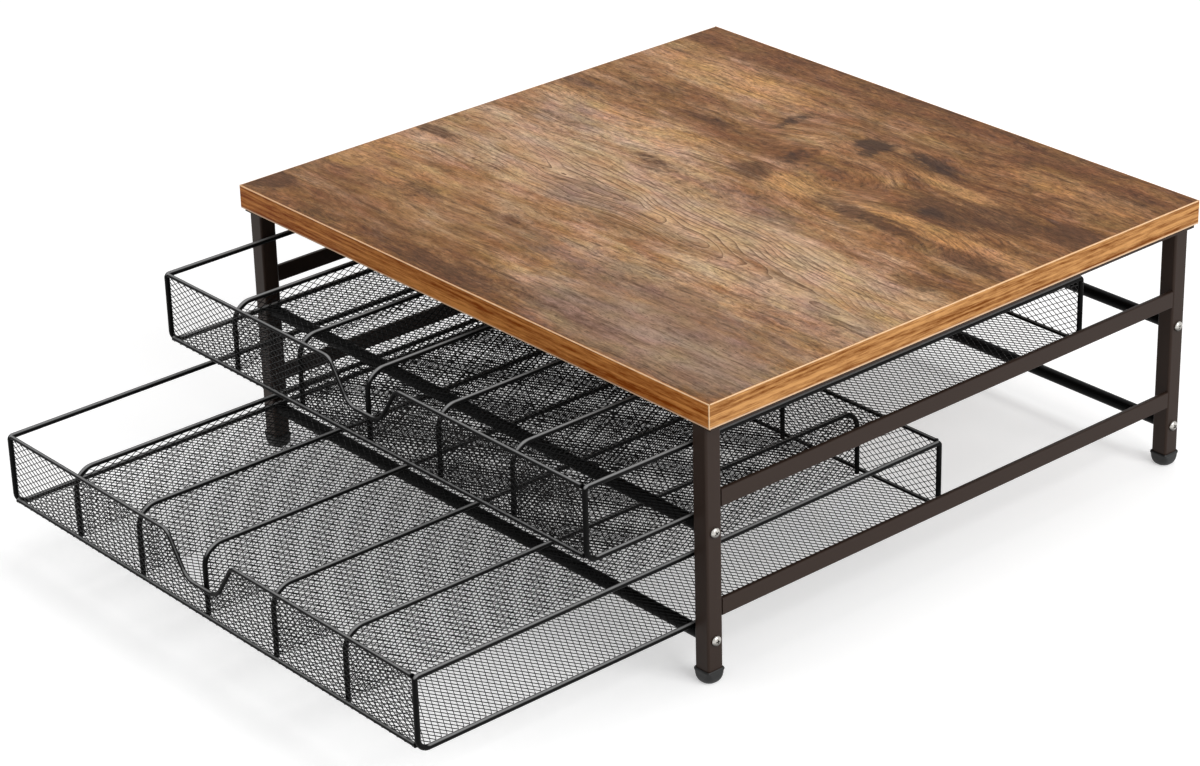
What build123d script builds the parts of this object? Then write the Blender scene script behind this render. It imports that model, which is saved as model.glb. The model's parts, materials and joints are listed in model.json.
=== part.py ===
"""Coffee pod rack with a wood top, a steel frame and two pull-out wire mesh drawers.

Millimetres. X runs left to right seen from the front, the front faces -Y and Z is up.
The origin is on the table under the middle of the board.
"""

import os
from build123d import *

# Board
board_width = 358.0
board_depth = 336.0
board_thickness = 12.8
edge_band_thickness = 0.8
edge_band_chamfer = 0.4
rack_height = 149.0

# Frame
leg_size = 9.5
leg_wall = 1.0
leg_corner_radius = 1.2
board_overhang_side = 4.7
board_overhang_front = 2.0
strip_width = 14.0
strip_thickness = 2.0
strip_inset = 1.2
rail_height = 9.0
rail_thickness = 2.5
cross_bar_diameter = 6.5
first_bar_height = 22.9
rail_above_bar = 16.1
upper_bay_lower_by = 2.7

# Feet
foot_wall = 0.65
foot_fit = 0.1
foot_floor = 2.2
foot_collar = 5.0
foot_corner_radius = 1.9
foot_chamfer = 1.3

# Screws
frame_screw_diameter = 3.0
frame_screw_head = 5.4
frame_screw_head_height = 1.8
frame_screw_grip = 6.0
board_screw_diameter = 3.4
board_screw_head = 6.6
board_screw_head_height = 2.0
board_screw_bite = 8.0
board_screw_from_leg = 60.0
screw_head_chamfer = 0.7
screw_hole_fit = 0.1
screw_flat_count = 12

# Drawer wires
side_wire = 2.8
rim_wire = 2.2
divider_wire = 2.6
runner_bend = 6.0
side_top_bend = 2.2
divider_bend = 10.0
divider_below_rim = 0.5
divider_pitch = 54.0
divider_count = 5
drawer_height = 40.15
drawer_side_gap = 1.5
drawer_end_inset = 0.9
runner_gap = 0.3
weld_gap = 0.15
bend_chords = 3
wire_flat_count = 8

# Drawer mesh
mesh_thickness = 0.8
mesh_strand = 3.0
mesh_margin = 1.5
floor_above_runner = 0.75
panel_cell_long = 40.0
panel_cell_short = 14.5
floor_cell_long = 79.0
floor_cell_short = 41.0
divider_cell_long = 50.0
divider_cell_short = 30.0

# Finger notch
notch_depth = 21.0
notch_top_half = 26.0
notch_bottom_half = 12.0
notch_top_bend = 6.0
notch_bottom_bend = 11.0

# How far each drawer stands out of the rack
lower_pull = 164.0
upper_pull = 64.0

# Places in the rack that follow from its sizes
board_bottom = rack_height - board_thickness
strip_bottom = board_bottom - strip_thickness
leg_x = board_width / 2 - board_overhang_side - leg_size / 2
leg_y = board_depth / 2 - board_overhang_front - leg_size / 2
leg_face_x = leg_x + leg_size / 2
leg_face_y = leg_y + leg_size / 2
strip_x = board_width / 2 - strip_inset - strip_width / 2
level_pitch = (strip_bottom - first_bar_height + upper_bay_lower_by) / 2
levels = {"lower": 0.0, "upper": level_pitch}
pulls = {"lower": lower_pull, "upper": upper_pull}
sides = {"left": -1, "right": 1}
ends = {"front": -1, "rear": 1}

# Places in a drawer that stands at the lower level, closed
loop_x = leg_x - leg_size / 2 - drawer_side_gap - side_wire / 2
loop_y = leg_face_y - drawer_end_inset - side_wire / 2
runner_bottom = first_bar_height + cross_bar_diameter / 2 + runner_gap
rim_top = runner_bottom + drawer_height
runner_z = runner_bottom + side_wire / 2
side_top_z = rim_top - side_wire / 2
rim_z = rim_top - rim_wire / 2
floor_z = runner_z + floor_above_runner
floor_top = floor_z + mesh_thickness / 2
bottom_wire_z = floor_top + weld_gap + rim_wire / 2
inner_half = loop_x - side_wire / 2 - weld_gap
divider_y = loop_y - rim_wire / 2 - 2 * weld_gap - divider_wire / 2
divider_z = rim_top - divider_below_rim - divider_wire / 2


def save(name, shape):
    """Write one node to its own file."""
    shape.label = name
    export_step(shape, f"parts/{name}.step")


# Small rounds have flats, which keeps what repeats light
def shank(diameter):
    """Section of a small shaft, with its corners on the diameter."""
    return RegularPolygon(diameter / 2, screw_flat_count)


def screw_hole(diameter, length):
    """A hole along Z, centred, that clears a shank of this diameter."""
    section = RegularPolygon(diameter / 2 + screw_hole_fit, screw_flat_count, major_radius=False)
    return extrude(section, length / 2, both=True)


# Board and its edge bands
def board_screw_places():
    """The middle of each board screw, seen from above."""
    y = leg_y - board_screw_from_leg
    return [(x * strip_x, sign * y) for x in sides.values() for sign in ends.values()]


def top_board():
    width = board_width - 2 * edge_band_thickness
    depth = board_depth - 2 * edge_band_thickness
    board = Pos(0, 0, board_bottom) * extrude(Rectangle(width, depth), board_thickness)
    pilot = screw_hole(board_screw_diameter, 2 * (board_screw_bite + screw_hole_fit))
    for x, y in board_screw_places():
        board -= Pos(x, y, board_bottom) * pilot
    return board


def edge_band(length):
    """A band along X that shows at +Y, with its long edges eased."""
    inner = edge_band_thickness - edge_band_chamfer
    upper = board_thickness - edge_band_chamfer
    profile = Polygon(
        (0, 0),
        (inner, 0),
        (edge_band_thickness, edge_band_chamfer),
        (edge_band_thickness, upper),
        (inner, board_thickness),
        (0, board_thickness),
        align=None,
    )
    return extrude(Plane.YZ * profile, length / 2, both=True)


def board_and_bands():
    save("top_board", top_board())
    long_band = edge_band(board_width)
    short_band = edge_band(board_depth - 2 * edge_band_thickness)
    x = board_width / 2 - edge_band_thickness
    y = board_depth / 2 - edge_band_thickness
    save("edge_band_rear", Pos(0, y, board_bottom) * long_band)
    save("edge_band_front", Pos(0, -y, board_bottom) * Rot(Z=180) * long_band)
    save("edge_band_left", Pos(-x, 0, board_bottom) * Rot(Z=90) * short_band)
    save("edge_band_right", Pos(x, 0, board_bottom) * Rot(Z=-90) * short_band)


# Screws
def pan_screw(diameter, head, head_height, length):
    """A screw that points down, with the underside of its head at z = 0."""
    top = extrude(shank(head), head_height)
    top = chamfer(top.faces().sort_by(Axis.Z)[-1].edges(), screw_head_chamfer)
    return top + extrude(shank(diameter), -length)


def frame_screws():
    """Through the legs' side faces into the ends of the cross bars."""
    screw = pan_screw(
        frame_screw_diameter,
        frame_screw_head,
        frame_screw_head_height,
        leg_size + frame_screw_grip,
    )
    made = []
    for rise in levels.values():
        for y in ends.values():
            for x in sides.values():
                place = Pos(x * leg_face_x, y * leg_y, first_bar_height + rise)
                made.append(place * Rot(Y=90 * x) * screw)
    save("frame_screws", Compound(children=made))


def board_screws():
    """Up through the top strips into the board."""
    screw = pan_screw(
        board_screw_diameter,
        board_screw_head,
        board_screw_head_height,
        strip_thickness + board_screw_bite,
    )
    made = [Pos(x, y, strip_bottom) * Rot(X=180) * screw for x, y in board_screw_places()]
    save("board_screws", Compound(children=made))


# Frame
def leg():
    """A square tube with a screw hole through both side walls at each level."""
    bore = leg_size - 2 * leg_wall
    section = RectangleRounded(leg_size, leg_size, leg_corner_radius) - Rectangle(bore, bore)
    tube = Pos(0, 0, foot_floor) * extrude(section, strip_bottom - foot_floor)
    hole = Rot(Y=90) * screw_hole(frame_screw_diameter, 2 * leg_size)
    for rise in levels.values():
        tube -= Pos(0, 0, first_bar_height + rise) * hole
    return tube


def foot():
    """A cap that the leg stands in, narrowed towards the table."""
    pocket = leg_size + 2 * foot_fit
    outside = pocket + 2 * foot_wall
    cap = extrude(RectangleRounded(outside, outside, foot_corner_radius), foot_floor + foot_collar)
    cap = chamfer(cap.faces().sort_by(Axis.Z)[0].edges(), foot_chamfer)
    return cap - Pos(0, 0, foot_floor) * extrude(Rectangle(pocket, pocket), foot_collar)


def legs_and_feet():
    tube = leg()
    cap = foot()
    for end, y in ends.items():
        for side, x in sides.items():
            place = Pos(x * leg_x, y * leg_y, 0)
            save(f"leg_{end}_{side}", place * tube)
            save(f"foot_{end}_{side}", place * cap)


def top_strips():
    hole = screw_hole(board_screw_diameter, 3 * strip_thickness)
    for side, x in sides.items():
        strip = extrude(Rectangle(strip_width, 2 * leg_face_y), strip_thickness)
        strip = Pos(x * strip_x, 0, strip_bottom) * strip
        for screw_x, screw_y in board_screw_places():
            strip -= Pos(screw_x, screw_y, strip_bottom) * hole
        save(f"top_strip_{side}", strip)


def side_rails():
    """Flat bars on edge between the legs, flush with the legs' side faces."""
    rail = Box(rail_thickness, 2 * leg_y - leg_size, rail_height)
    for level, rise in levels.items():
        for side, x in sides.items():
            z = first_bar_height + rail_above_bar + rise
            place = Pos(x * (leg_face_x - rail_thickness / 2), 0, z)
            save(f"side_rail_{level}_{side}", place * rail)


def cross_bars():
    """Round bars between the legs, tapped at both ends, that the drawers slide on."""
    length = 2 * leg_x - leg_size
    hole = screw_hole(frame_screw_diameter, 2 * (frame_screw_grip + screw_hole_fit))
    bar = Cylinder(cross_bar_diameter / 2, length)
    bar -= Pos(0, 0, length / 2) * hole
    bar -= Pos(0, 0, -length / 2) * hole
    for level, rise in levels.items():
        for end, y in ends.items():
            place = Pos(0, y * leg_y, first_bar_height + rise)
            save(f"cross_bar_{level}_{end}", place * Rot(Y=90) * bar)


# Drawer wires
def wire_section(diameter):
    """Section with its flats on the diameter, one of them level."""
    turn = 180 / wire_flat_count
    return RegularPolygon(diameter / 2, wire_flat_count, major_radius=False, rotation=turn)


def corners(path):
    """Corner points of a path whose bends become chords. A closed path starts in mid run."""
    edges = path.wire().order_edges()
    points = []
    for edge in edges:
        steps = bend_chords if edge.geom_type == GeomType.CIRCLE else 1
        points += [edge @ (step / steps) for step in range(steps)]
    if path.wire().is_closed:
        middle = edges[0] @ 0.5
        return [middle] + points[1:] + [points[0], middle]
    return points + [edges[-1] @ 1]


def bent_wire(path, diameter):
    """A wire along a path drawn on the XY plane."""
    line = Polyline(*corners(path))
    start = Plane(origin=line @ 0, x_dir=(0, 0, 1), z_dir=line % 0)
    return sweep(start * wire_section(diameter), line, transition=Transition.RIGHT)


def cross_wire(y, z):
    """A straight wire from one side loop to the other."""
    wire = extrude(Plane.YZ * wire_section(rim_wire), inner_half, both=True)
    return Pos(0, y, z) * wire


def loop_path():
    """Centre line of a side loop: runner, posts and top wire."""
    return FilletPolyline(
        (-loop_y, runner_z),
        (loop_y, runner_z),
        (loop_y, side_top_z),
        (-loop_y, side_top_z),
        radius=[runner_bend, runner_bend, side_top_bend, side_top_bend],
        close=True,
    )


def rim_path():
    """Centre line of the front rim, which dips round the finger notch."""
    low = rim_z - notch_depth
    return FilletPolyline(
        (-inner_half, rim_z),
        (-notch_top_half, rim_z),
        (-notch_bottom_half, low),
        (notch_bottom_half, low),
        (notch_top_half, rim_z),
        (inner_half, rim_z),
        radius=[notch_top_bend, notch_bottom_bend, notch_bottom_bend, notch_top_bend],
    )


def divider_path():
    """Centre line of a divider wire: an upside-down U from front to rear."""
    foot = floor_top + weld_gap
    return FilletPolyline(
        (-divider_y, foot),
        (-divider_y, divider_z),
        (divider_y, divider_z),
        (divider_y, foot),
        radius=[divider_bend, divider_bend],
    )


# Drawer mesh
def holed(sheet, cell_long, cell_short, width, bottom, top, clear=lambda x, y: True):
    """A plate on the XY plane with staggered diamond holes in the band from bottom to top.

    Each hole is smaller than its cell by the strands round it. A hole is cut where clear allows it.
    """
    half_short = (cell_short - mesh_strand) / 2
    half_long = half_short * cell_long / cell_short
    diamond = Polygon(
        (-half_long, 0),
        (0, -half_short),
        (half_long, 0),
        (0, half_short),
        align=None,
    )
    hole = extrude(diamond, mesh_thickness, both=True)
    columns = int((width - 2 * mesh_margin) // cell_long)
    rows = int((top - bottom - 2 * mesh_margin) // cell_short)
    places = list(GridLocations(cell_long, cell_short, columns, rows))
    if rows > 1:
        places += list(GridLocations(cell_long, cell_short, columns - 1, rows - 1))
    plate = extrude(sheet, mesh_thickness / 2, both=True)
    for place in places:
        x = place.position.X
        y = place.position.Y + (bottom + top) / 2
        if clear(x, y):
            plate -= Pos(x, y) * hole
    return plate


def front_panel(bottom):
    """Mesh under the front rim, with the rim's dip left out."""
    top = rim_z - rim_wire / 2 - weld_gap
    slope = notch_depth / (notch_top_half - notch_bottom_half)

    def under_rim(x, y):
        inner_x = abs(x) - panel_cell_long / 2
        dip = min(max(slope * (notch_top_half - inner_x), 0), notch_depth)
        return y + panel_cell_short / 2 < top - dip

    edge = corners(rim_path()) + [(inner_half, bottom), (-inner_half, bottom)]
    sheet = Polygon(*edge, align=None)
    width = 2 * inner_half
    plate = holed(sheet, panel_cell_long, panel_cell_short, width, bottom, top, under_rim)
    return plate - bent_wire(rim_path(), rim_wire + 2 * weld_gap)


def rear_panel(bottom):
    top = rim_z - rim_wire / 2 - weld_gap
    width = 2 * inner_half
    sheet = Pos(0, (top + bottom) / 2) * Rectangle(width, top - bottom)
    return holed(sheet, panel_cell_long, panel_cell_short, width, bottom, top)


def floor_panel():
    width = 2 * inner_half
    half = loop_y + rim_wire / 2
    return holed(Rectangle(width, 2 * half), floor_cell_long, floor_cell_short, width, -half, half)


def divider_panel():
    """Mesh inside the divider wire's U, down to the floor."""
    gap = divider_wire / 2 + weld_gap
    bottom = floor_top + weld_gap
    sheet = Polygon(*corners(divider_path()), align=None)
    width = 2 * (divider_y - gap)
    plate = holed(sheet, divider_cell_long, divider_cell_short, width, bottom, divider_z - gap)
    return plate - bent_wire(divider_path(), divider_wire + 2 * weld_gap)


# Drawers
def drawer(name, rise, pull):
    """One drawer, its front towards -Y, moved up to its level and out of the rack."""
    place = Pos(0, -pull, rise)
    panel_bottom = bottom_wire_z + rim_wire / 2 + weld_gap
    loop = Plane.YZ * bent_wire(loop_path(), side_wire)
    for side, x in sides.items():
        save(f"{name}_side_loop_{side}", place * Pos(x * loop_x, 0, 0) * loop)
    front = Plane.XZ.offset(loop_y)
    save(f"{name}_front_rim_wire", place * (front * bent_wire(rim_path(), rim_wire)))
    save(f"{name}_front_mesh", place * (front * front_panel(panel_bottom)))
    save(f"{name}_rear_rim_wire", place * cross_wire(loop_y, rim_z))
    save(f"{name}_front_bottom_wire", place * cross_wire(-loop_y, bottom_wire_z))
    save(f"{name}_rear_bottom_wire", place * cross_wire(loop_y, bottom_wire_z))
    rear = Plane.XZ.offset(-loop_y)
    save(f"{name}_rear_mesh", place * (rear * rear_panel(panel_bottom)))
    save(f"{name}_floor_mesh", place * Pos(0, 0, floor_z) * floor_panel())
    wire = Plane.YZ * bent_wire(divider_path(), divider_wire)
    mesh = Plane.YZ * divider_panel()
    wires = []
    for number in range(divider_count):
        x = (number - (divider_count - 1) / 2) * divider_pitch
        wires.append(place * Pos(x, 0, 0) * wire)
        save(f"{name}_divider_mesh_{number + 1}", place * Pos(x, 0, 0) * mesh)
    save(f"{name}_divider_wires", Compound(children=wires))


os.makedirs("parts", exist_ok=True)
board_and_bands()
frame_screws()
board_screws()
legs_and_feet()
top_strips()
side_rails()
cross_bars()
for level_name, level_rise in levels.items():
    drawer(level_name, level_rise, pulls[level_name])
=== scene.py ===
"""Coffee pod rack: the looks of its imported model, laid out as an add-on and run as a script.

Metres, in the model's own frame: X runs to the right, the front faces -Y and Z is up.
"""

import json
import math

import bmesh
import bpy
import numpy as np
from bpy.props import FloatProperty, FloatVectorProperty, PointerProperty
from bpy.types import Operator, Panel, PropertyGroup
from mathutils import Matrix, Vector

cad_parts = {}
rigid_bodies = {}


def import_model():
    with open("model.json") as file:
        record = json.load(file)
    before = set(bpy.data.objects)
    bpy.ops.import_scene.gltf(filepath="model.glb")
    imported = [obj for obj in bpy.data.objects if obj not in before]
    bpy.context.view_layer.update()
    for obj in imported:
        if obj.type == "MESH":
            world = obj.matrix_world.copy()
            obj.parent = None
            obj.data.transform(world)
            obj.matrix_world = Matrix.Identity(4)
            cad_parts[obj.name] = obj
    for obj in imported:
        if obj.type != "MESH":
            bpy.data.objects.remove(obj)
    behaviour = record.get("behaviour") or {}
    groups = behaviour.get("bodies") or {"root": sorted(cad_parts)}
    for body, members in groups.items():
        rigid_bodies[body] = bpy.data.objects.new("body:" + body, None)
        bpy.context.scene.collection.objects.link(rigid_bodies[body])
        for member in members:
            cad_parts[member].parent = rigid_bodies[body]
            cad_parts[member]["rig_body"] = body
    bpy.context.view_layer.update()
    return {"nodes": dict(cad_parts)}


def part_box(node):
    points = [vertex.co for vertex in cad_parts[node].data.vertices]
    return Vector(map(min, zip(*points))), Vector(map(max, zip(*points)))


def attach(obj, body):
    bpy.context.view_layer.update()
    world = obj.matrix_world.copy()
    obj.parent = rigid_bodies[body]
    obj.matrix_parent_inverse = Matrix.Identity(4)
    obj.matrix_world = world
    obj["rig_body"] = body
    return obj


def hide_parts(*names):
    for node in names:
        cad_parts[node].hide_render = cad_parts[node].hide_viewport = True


bl_info = {
    "name": "Coffee Pod Rack",
    "version": (1, 0, 0),
    "blender": (4, 5, 0),
    "location": "3D View > Sidebar > Pod Rack",
    "description": "Dresses a rack with a wood top and two wire mesh drawers",
    "category": "Object",
}

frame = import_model()

MM = 0.001
SIDES = ("left", "right")
ENDS = ("front", "rear")
LEVELS = ("lower", "upper")
DIVIDERS = range(1, 6)


# Sizes and colours that a user may change
def length(name, description, millimetres):
    """A size that is kept in metres and given here in millimetres."""
    size = millimetres * MM
    return FloatProperty(
        name=name, description=description, default=size, min=0.0, unit="LENGTH", subtype="DISTANCE"
    )


def linear(hex_code):
    """An sRGB colour such as #8c6a4a as linear red, green, blue and alpha."""
    channels = [int(hex_code[i:i + 2], 16) / 255 for i in (1, 3, 5)]
    return (*(c / 12.92 if c <= 0.04045 else ((c + 0.055) / 1.055) ** 2.4 for c in channels), 1.0)


def colour(name, description, hex_code):
    """A colour that is given here as sRGB hex."""
    tint = linear(hex_code)
    return FloatVectorProperty(
        name=name, description=description, default=tint, size=4, min=0.0, max=1.0, subtype="COLOR"
    )


class RackSizes(PropertyGroup):
    """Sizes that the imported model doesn't tell"""

    band_arris: length("Band arris", "Rounding of the edge bands' outer edges", 0.45)
    leg_rounding: length("Leg rounding", "Radius of the legs' corners", 1.3)
    leg_wall: length("Leg wall", "Wall of the square tube", 1.0)
    rail_rounding: length("Rail rounding", "Radius of the side rails' edges", 0.6)
    runner_bend: length("Runner bend", "Bend at each end of a drawer's runner", 6.0)
    side_top_bend: length("Side top bend", "Bend at each end of a drawer's side top wire", 1.5)
    divider_bend: length("Divider bend", "Bends of the divider wires", 10.0)
    notch_top_half: length("Notch top half", "Half the finger notch's width at the rim", 26.0)
    notch_bottom_half: length("Notch bottom half", "Half the finger notch's width at its bottom", 12.0)
    notch_top_bend: length("Notch top bend", "Bends where the notch leaves the rim", 6.0)
    notch_bottom_bend: length("Notch bottom bend", "Bends at the notch's bottom", 11.0)
    mesh_long: length("Mesh long way", "Long way of a diamond, from strand to strand", 5.5)
    mesh_short: length("Mesh short way", "Short way of a diamond, from strand to strand", 3.2)
    strand_width: length("Strand width", "Width of the mesh strands", 0.38)
    strand_depth: length("Strand depth", "Depth of the mesh strands through the sheet", 0.42)


class RackColours(PropertyGroup):
    """Colours of the finishes"""

    powder_coat: colour("Powder coat", "Frame", "#32251e")
    # The cross bars' near black is painted shade, for the board and drawers above them
    bar_coat: colour("Bar coat", "Cross bars", "#050505")
    wire_coat: colour("Wire coat", "Drawer wires", "#070707")
    mesh_coat: colour("Mesh coat", "Drawer mesh", "#0c0c0c")
    foot_plastic: colour("Foot plastic", "Feet", "#131313")
    plated_steel: colour("Plated steel", "Screws", "#c9c6c0")
    floor: colour("Floor", "Studio floor", "#ececec")


# Geometry
def rounded_outline(width, depth, radius, steps=5):
    """Points round a rectangle with rounded corners, centred on the origin."""
    points = []
    for quarter, (x, y) in enumerate([(1, 1), (-1, 1), (-1, -1), (1, -1)]):
        centre = Vector((x * (width / 2 - radius), y * (depth / 2 - radius)))
        for step in range(steps + 1):
            angle = math.pi / 2 * (quarter + step / steps)
            points.append(centre + radius * Vector((math.cos(angle), math.sin(angle))))
    return points


def level_ring(outline, centre, z):
    """An outline laid level round a centre at a height."""
    return [Vector((centre.x + point.x, centre.y + point.y, z)) for point in outline]


def skin(rings, closed=False):
    """Vertices and faces over rings of equally many points, with flat ends unless closed."""
    count = len(rings[0])
    points = [point for ring in rings for point in ring]
    faces = []
    for first in range(len(rings) if closed else len(rings) - 1):
        a, b = first * count, (first + 1) % len(rings) * count
        for i in range(count):
            j = (i + 1) % count
            faces.append((a + i, a + j, b + j, b + i))
    if not closed:
        faces.append(tuple(reversed(range(count))))
        faces.append(tuple(range(len(points) - count, len(points))))
    return points, faces


def joined(*geometries):
    """Several sets of vertices and faces as one."""
    points, faces = [], []
    for more_points, more_faces in geometries:
        faces += [tuple(len(points) + i for i in face) for face in more_faces]
        points += more_points
    return points, faces


def bent(corners, radii, closed=False, steps=8):
    """Points along straight runs whose corners are rounded by these radii, in a plane."""
    corners = [Vector(corner) for corner in corners]
    count = len(corners)
    points = [] if closed else [corners[0]]
    turning = range(count) if closed else range(1, count - 1)
    for i, radius in zip(turning, radii):
        corner = corners[i]
        back = (corners[i - 1] - corner).normalized()
        ahead = (corners[(i + 1) % count] - corner).normalized()
        half_angle = back.angle(ahead) / 2
        centre = corner + (back + ahead).normalized() * radius / math.sin(half_angle)
        run_in = corner + back * radius / math.tan(half_angle) - centre
        run_out = corner + ahead * radius / math.tan(half_angle) - centre
        points += [centre + radius * run_in.slerp(run_out, step / steps) for step in range(steps + 1)]
    return points if closed else points + [corners[-1]]


# The weld at a wire's end: places from the end in millimetres, with the share of the radius there
WELD_BEAD = ((0.0, 0.9), (0.15, 1.25), (0.6, 1 + 0.25 / 3), (1.3, 1.0))


def wire(path, normal, radius, closed=False, sides=12, welded=False):
    """A round wire along points that lie in a plane with this normal."""
    scales = [1.0] * len(path)
    if welded:
        start = (path[1] - path[0]).normalized()
        end = (path[-2] - path[-1]).normalized()
        head = [path[0] + reach * MM * start for reach, _ in WELD_BEAD]
        tail = [path[-1] + reach * MM * end for reach, _ in reversed(WELD_BEAD)]
        widening = [share for _, share in WELD_BEAD]
        scales = widening + scales[1:-1] + widening[::-1]
        path = head + path[1:-1] + tail
    rings = []
    for i, (point, scale) in enumerate(zip(path, scales)):
        before = path[i - 1] if closed or i > 0 else point
        after = path[(i + 1) % len(path)] if closed or i < len(path) - 1 else point
        side = (after - before).normalized().cross(normal)
        ring = []
        for step in range(sides):
            angle = 2 * math.pi * step / sides
            ring.append(point + radius * scale * (math.cos(angle) * side + math.sin(angle) * normal))
        rings.append(ring)
    return skin(rings, closed)


def mesh_of(name, points, faces):
    """A mesh of these vertices and faces."""
    mesh = bpy.data.meshes.new(name)
    mesh.from_pydata(points, [], faces)
    return mesh


def mesh_from(name, shape):
    """A mesh made of a bmesh, which is then freed."""
    mesh = bpy.data.meshes.new(name)
    shape.to_mesh(mesh)
    shape.free()
    return mesh


def new_object(name, data):
    """An object with this data, linked into the scene."""
    obj = bpy.data.objects.new(name, data)
    bpy.context.scene.collection.objects.link(obj)
    return obj


def piece(name, geometry, material, slot, *nodes, sharp=40.0):
    """Make one object that stands for these CAD nodes and rides on their body."""
    mesh = mesh_of(name, *geometry)
    shape = bmesh.new()
    shape.from_mesh(mesh)
    bmesh.ops.recalc_face_normals(shape, faces=shape.faces)
    shape.to_mesh(mesh)
    shape.free()
    return placed(name, mesh, [material], slot, *nodes, sharp=sharp)


def placed(name, mesh, materials, slot, *nodes, sharp=40.0):
    """Put a mesh into the scene in place of CAD nodes, with its materials and its shading."""
    mesh.shade_smooth()
    mesh.set_sharp_from_angle(angle=math.radians(sharp))
    for material in materials:
        mesh.materials.append(material)
    obj = new_object(name, mesh)
    if sharp > 0:
        even = obj.modifiers.new("even normals", "WEIGHTED_NORMAL")
        even.keep_sharp = True
    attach(obj, frame["nodes"][nodes[0]]["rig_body"])
    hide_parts(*nodes)
    return obj


def repaint(node, material):
    """Give a CAD node that stays its material."""
    for slot in frame["nodes"][node].material_slots:
        slot.material = material


# Expanded metal
def strands(width, height, sizes):
    """Starts and ends of the strands of a diamond mesh that fills a panel, both in rows of two."""
    columns = round(2 * width / sizes.mesh_long)
    rows = round(2 * height / sizes.mesh_short)
    column, row = (grid.ravel() for grid in np.meshgrid(np.arange(columns), np.arange(rows)))
    step = np.array([width / columns, height / rows])
    starts = np.stack([column, row + (column + row) % 2], -1) * step
    ends = np.stack([column + 1, row + (column + row + 1) % 2], -1) * step
    return starts, ends


def cut_above(starts, ends, top, halvings=10):
    """Strands cut off where they rise above a line, given as places along the panel with their heights."""

    def is_under(points):
        return points[:, 1] <= np.interp(points[:, 0], top[:, 0], top[:, 1])

    start_under = is_under(starts)
    kept = start_under | is_under(ends)
    inner = np.where(start_under[:, None], starts, ends)[kept]
    outer = np.where(start_under[:, None], ends, starts)[kept]
    under = np.zeros(len(inner))
    over = np.ones(len(inner))
    for _ in range(halvings):
        middle = (under + over) / 2
        stays = is_under(inner + (outer - inner) * middle[:, None])
        under = np.where(stays, middle, under)
        over = np.where(stays, over, middle)
    return inner, inner + (outer - inner) * over[:, None]


def strand_bars(starts, ends, origin, along, up, sizes):
    """A three-sided bar for each strand, on the plane through origin with these two directions."""
    along, up, origin = np.array(along, float), np.array(up, float), np.array(origin, float)
    out = np.cross(along, up)
    run = ends - starts
    run /= np.linalg.norm(run, axis=1)[:, None]
    across = -run[:, 1:] * along + run[:, :1] * up
    turn = np.where(run[:, 0] * run[:, 1] > 0, 1.0, -1.0)[:, None]
    section = [(-0.5, -1 / 3), (0.5, -1 / 3), (0.0, 2 / 3)]
    corners = []
    for ends_of_strand in (starts, ends):
        middle = origin + ends_of_strand[:, :1] * along + ends_of_strand[:, 1:] * up
        for side, depth in section:
            offset = side * sizes.strand_width * across + depth * sizes.strand_depth * out
            corners.append(middle + turn * offset)
    points = np.stack(corners, 1).reshape(-1, 3)
    first = 6 * np.arange(len(starts))[:, None]
    faces = [first + np.array([i, (i + 1) % 3, (i + 1) % 3 + 3, i + 3]) for i in range(3)]
    return points, np.concatenate(faces)


def mesh_panel(node, start, along, up, width, height, sizes, material, top=None):
    """One panel of expanded metal from its lower corner, in place of a CAD node.

    Top is a line that trims the panel: places along the panel with their heights.
    """
    starts, ends = strands(width, height, sizes)
    if top is not None:
        starts, ends = cut_above(starts, ends, top)
    points, faces = strand_bars(starts, ends, start, along, up, sizes)
    name = node + "_diamonds"
    return placed(name, mesh_of(name, points, faces), [material], "black_mesh", node, sharp=0.0)


# Materials
def add(tree, kind, values=(), links=()):
    """Add a shader node with its settings and links, each given by name or by place."""
    made = tree.nodes.new("ShaderNode" + kind)

    def entry(key):
        if isinstance(key, int):
            return made.inputs[key]
        return next(socket for socket in made.inputs if socket.enabled and socket.name == key)

    for key, value in dict(values).items():
        if key == "stops":
            ramp = made.color_ramp.elements
            while len(ramp) < len(value):
                ramp.new(1.0)
            for stop, (position, tint) in zip(ramp, value):
                stop.position, stop.color = position, linear(tint)
        elif isinstance(key, str) and hasattr(made, key):
            setattr(made, key, value)
        else:
            entry(key).default_value = value
    for key, source in dict(links).items():
        if isinstance(source, bpy.types.Node):
            source = next(socket for socket in source.outputs if socket.enabled)
        tree.links.new(source, entry(key))
    return made


def new_material(name):
    """An empty material, its node tree and the place on the piece in metres."""
    material = bpy.data.materials.new(name)
    material.use_nodes = True
    tree = material.node_tree
    tree.nodes.clear()
    place = add(tree, "TexCoord").outputs["Object"]
    return material, tree, place


def marks(tree, place, size, detail=2.0, seed=0.0, roughness=0.5):
    """A noise texture whose marks have about this size in millimetres along X, Y and Z."""
    metres = tuple(millimetres * MM for millimetres in size)
    counted = add(tree, "VectorMath", {"operation": "DIVIDE", 1: metres}, {0: place})
    values = {"noise_dimensions": "4D", "W": seed, "Scale": 1.0, "Detail": detail, "Roughness": roughness}
    return add(tree, "TexNoise", values, {"Vector": counted})


def between(tree, value, low, high, to_low=0.0, to_high=1.0, smooth=False):
    """A value taken from one range to another, and held at its ends."""
    style = "SMOOTHSTEP" if smooth else "LINEAR"
    ranges = {"From Min": low, "From Max": high, "To Min": to_low, "To Max": to_high}
    return add(tree, "MapRange", {"interpolation_type": style, **ranges}, {"Value": value})


def calc(tree, operation, *terms):
    """A math node on these terms, which are numbers or outputs of other nodes."""
    values = {"operation": operation}
    links = {}
    for place, term in enumerate(terms):
        kept = values if isinstance(term, (int, float)) else links
        kept[place] = term
    return add(tree, "Math", values, links)


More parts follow.
